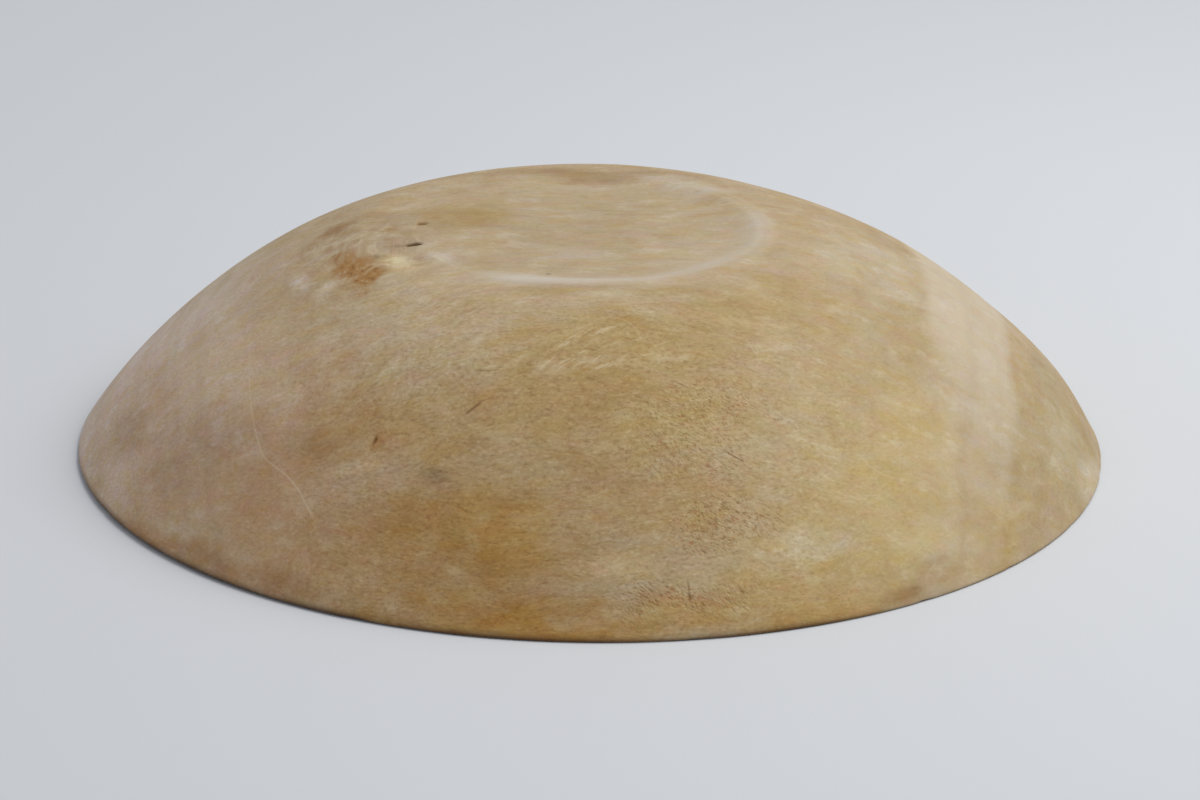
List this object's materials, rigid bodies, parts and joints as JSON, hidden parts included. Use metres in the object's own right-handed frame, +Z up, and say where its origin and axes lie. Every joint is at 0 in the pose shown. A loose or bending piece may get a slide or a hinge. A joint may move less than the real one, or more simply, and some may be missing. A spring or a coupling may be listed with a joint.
{
  "type": "turned wooden bowl",
  "caption": "Wide, shallow wooden bowl turned from one blank, with a curved wall, a thin eased rim and a low ring foot, for food, dough or fruit; lies mouth down.",
  "frame": {"origin": "middle of the mouth, on the plane of the rim that the bowl lies on", "axes": "+Z up, out through the foot; +X along the fibres of the wood, the bowl's longer width; +Y across the fibres. Turned half a turn about X, the bowl stands on its foot."},
  "size_m": [0.33, 0.325, 0.074],
  "materials": {
    "bowl_wood": "bare pale hardwood, turned, worn smooth and dull"
  },
  "bodies": {
    "root": {"bowl": "bowl_wood"}
  },
  "joints": []
}
